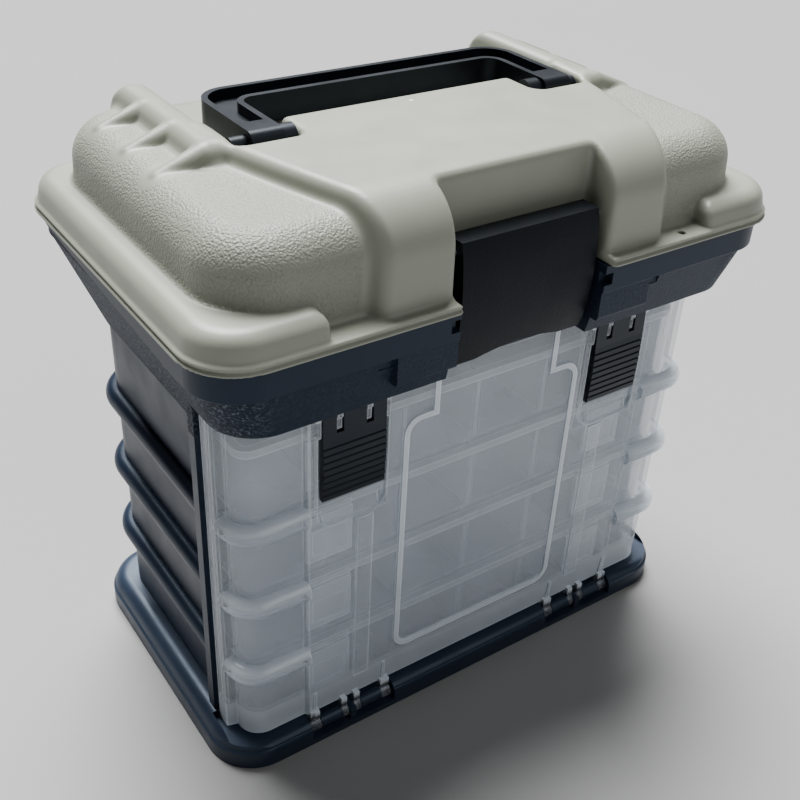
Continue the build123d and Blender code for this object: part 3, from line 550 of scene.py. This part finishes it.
looks = {
    # the foot's navy is lighter than the rack's: painted light that makes up for the shade on the foot's
    # front; the door's hinge pins share it
    "foot": plastic("foot_navy_lightened", dark=(0.0125, 0.0200, 0.0365), light=(0.0155, 0.0240, 0.0430),
                    rough=0.40, speck=1500.0, depth=0.00005, shine=0.40),
    "rack": plastic("rack_navy", dark=(0.0075, 0.0130, 0.0255), light=(0.0098, 0.0162, 0.0310),
                    rough=0.38, speck=1500.0, depth=0.00005, shine=0.22),
    "tub": tub_plastic(),
    "lid": grey_plastic(),
    "latch": plastic("latch_black", dark=(0.0018, 0.0023, 0.0032), light=(0.0030, 0.0037, 0.0050),
                     rough=0.42, speck=900.0, depth=0.00024, shine=0.13),
    "handle": plastic("handle_black", dark=(0.0034, 0.0040, 0.0054), light=(0.0050, 0.0058, 0.0076),
                      rough=0.42, speck=1800.0, depth=0.00004, shine=0.22),
    "clip": plastic("clip_black", dark=(0.0026, 0.0031, 0.0042), light=(0.0038, 0.0044, 0.0058),
                    rough=0.36, speck=1800.0, depth=0.00004, shine=0.30),
    "door": clear_plastic("door_clear", tint=(0.79, 0.86, 0.94), haze=0.20, rough=0.14,
                          edge_width=0.0012, painted_edge_light=0.46, painted_top_light=0.60, marks=on_door),
    "tray": clear_plastic("tray_clear", tint=(0.68, 0.78, 0.92), haze=0.17, rough=0.18,
                          edge_width=0.0011, painted_edge_light=0.40, painted_top_light=0.15),
    "tray_lid": clear_plastic("tray_lid_clear", tint=(0.80, 0.88, 0.97), haze=0.36, rough=0.18,
                              edge_width=0.0011, painted_edge_light=0.55, painted_top_light=0.24),
    "divider": clear_plastic("divider_clear", tint=(0.80, 0.87, 0.95), haze=0.36, rough=0.18,
                             edge_width=0.0010, painted_edge_light=0.55, painted_top_light=0.20),
    "steel": steel(),
}
NODE_LOOKS = {
    "base_foot": "foot", "door_hinge_pins": "foot", "rack_shell": "rack", "upper_tub": "tub", "lid": "lid",
    "lid_latch": "latch", "carry_handle": "handle", "handle_pins": "clip", "door_latch_left": "clip",
    "door_latch_right": "clip", "front_door": "door",
}
TRAY_LOOKS = {"box": "tray", "dividers": "divider", "lid": "tray_lid", "catches": "tray_lid"}


def look_of(node):
    """The material of a CAD node; the pins not named above are steel."""
    if node.startswith("tray_"):
        return looks[TRAY_LOOKS[node.split("_")[-1]]]
    return looks[NODE_LOOKS.get(node, "steel")]


for name, obj in nodes.items():
    obj.data.materials.clear()
    obj.data.materials.append(look_of(name))

lid = lid_mesh(looks["lid"])
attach(lid, "lid")
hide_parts("lid")


# ---------------------------------------------------------------- floor, light and camera
FLOOR_HALF = 6000.0                             # millimetres, as all mesh_object() points
FLOOR_DARK, FLOOR_LIGHT = (0.265, 0.265, 0.265), (0.28, 0.28, 0.28)
WORLD_LIGHT, WORLD_SEEN = 0.055, 1.1            # its strength as a light, and as the camera sees it
SUN_TOWARDS, SUN_POWER, SUN_ANGLE = Vector((-0.20, -0.76, -1.47)), 13.8, 38.0
FILL_PLACE, FILL_TARGET = Vector((0.45, -1.30, 1.25)), Vector((0.0, 0.0, 0.14))
FILL_SIZE, FILL_POWER = 1.2, 8.0
CAMERA_PLACE = (-0.24805, -0.34681, 0.3944)
CAMERA_AZIMUTH, CAMERA_ELEVATION, CAMERA_ROLL = -35.80, 33.66, 2.97
CAMERA_LENS, CAMERA_SENSOR, CAMERA_NEAR = 49.24, 36.0, 0.01


def floor_material():
    """Plain pale floor."""
    material, tree, shader, place = new_material("floor_white")
    tone = mix_colour(tree, noise(tree, place, scale=3.0, detail=3.0), FLOOR_DARK, FLOOR_LIGHT)
    tree.links.new(tone, shader.inputs["Base Color"])
    shader.inputs["Roughness"].default_value = 0.7
    shader.inputs["Specular IOR Level"].default_value = 0.2
    return material


def make_floor():
    """The floor under the foot, which isn't part of the object."""
    points = [(x * FLOOR_HALF, y * FLOOR_HALF, 0) for x, y in ((-1, -1), (1, -1), (1, 1), (-1, 1))]
    floor = mesh_object("floor", points, [(0, 1, 2, 3)], floor_material(), smooth=False)


def add_light(name, kind, power, towards, place=(0.0, 0.0, 0.0)):
    """A light at place that shines the way towards points."""
    light = bpy.data.lights.new(name, kind)
    light.energy = power
    lamp = bpy.data.objects.new(name, light)
    lamp.location = place
    lamp.rotation_euler = towards.to_track_quat("-Z", "Y").to_euler()
    bpy.context.scene.collection.objects.link(lamp)
    return light


def make_light():
    """Soft light from above and behind, a large front fill and a faint white world."""
    world = bpy.data.worlds.new("studio")
    bpy.context.scene.world = world
    world.use_nodes = True
    tree = world.node_tree
    background = tree.nodes["Background"]
    background.inputs["Color"].default_value = (1.0, 1.0, 1.0, 1.0)
    # the studio wall is as pale as the floor to look at, but throws little light
    seen = tree.nodes.new("ShaderNodeLightPath").outputs["Is Camera Ray"]
    tree.links.new(remap(tree, seen, 0.0, 1.0, WORLD_LIGHT, WORLD_SEEN), background.inputs["Strength"])
    sun = add_light("top", "SUN", SUN_POWER, SUN_TOWARDS)
    sun.angle = math.radians(SUN_ANGLE)
    fill = add_light("fill", "AREA", FILL_POWER, FILL_TARGET - FILL_PLACE, FILL_PLACE)
    fill.shape = "SQUARE"
    fill.size = FILL_SIZE


def make_camera():
    """The camera at the photograph's place and angle."""
    azimuth, elevation = math.radians(CAMERA_AZIMUTH), math.radians(CAMERA_ELEVATION)
    roll = math.radians(CAMERA_ROLL)
    back = Vector((math.sin(azimuth) * math.cos(elevation), -math.cos(azimuth) * math.cos(elevation),
                   math.sin(elevation)))
    right = (-back).cross(Vector((0, 0, 1))).normalized()
    up = right.cross(-back)
    across = right * math.cos(roll) + up * math.sin(roll)
    above = up * math.cos(roll) - right * math.sin(roll)
    lens = bpy.data.cameras.new("camera")
    lens.sensor_width = CAMERA_SENSOR
    lens.lens = CAMERA_LENS
    lens.clip_start = CAMERA_NEAR
    camera = bpy.data.objects.new("camera", lens)
    turn = Matrix((across, above, back)).transposed().to_4x4()
    camera.matrix_world = Matrix.Translation(CAMERA_PLACE) @ turn
    bpy.context.scene.collection.objects.link(camera)
    bpy.context.scene.camera = camera


make_floor()
make_light()
make_camera()
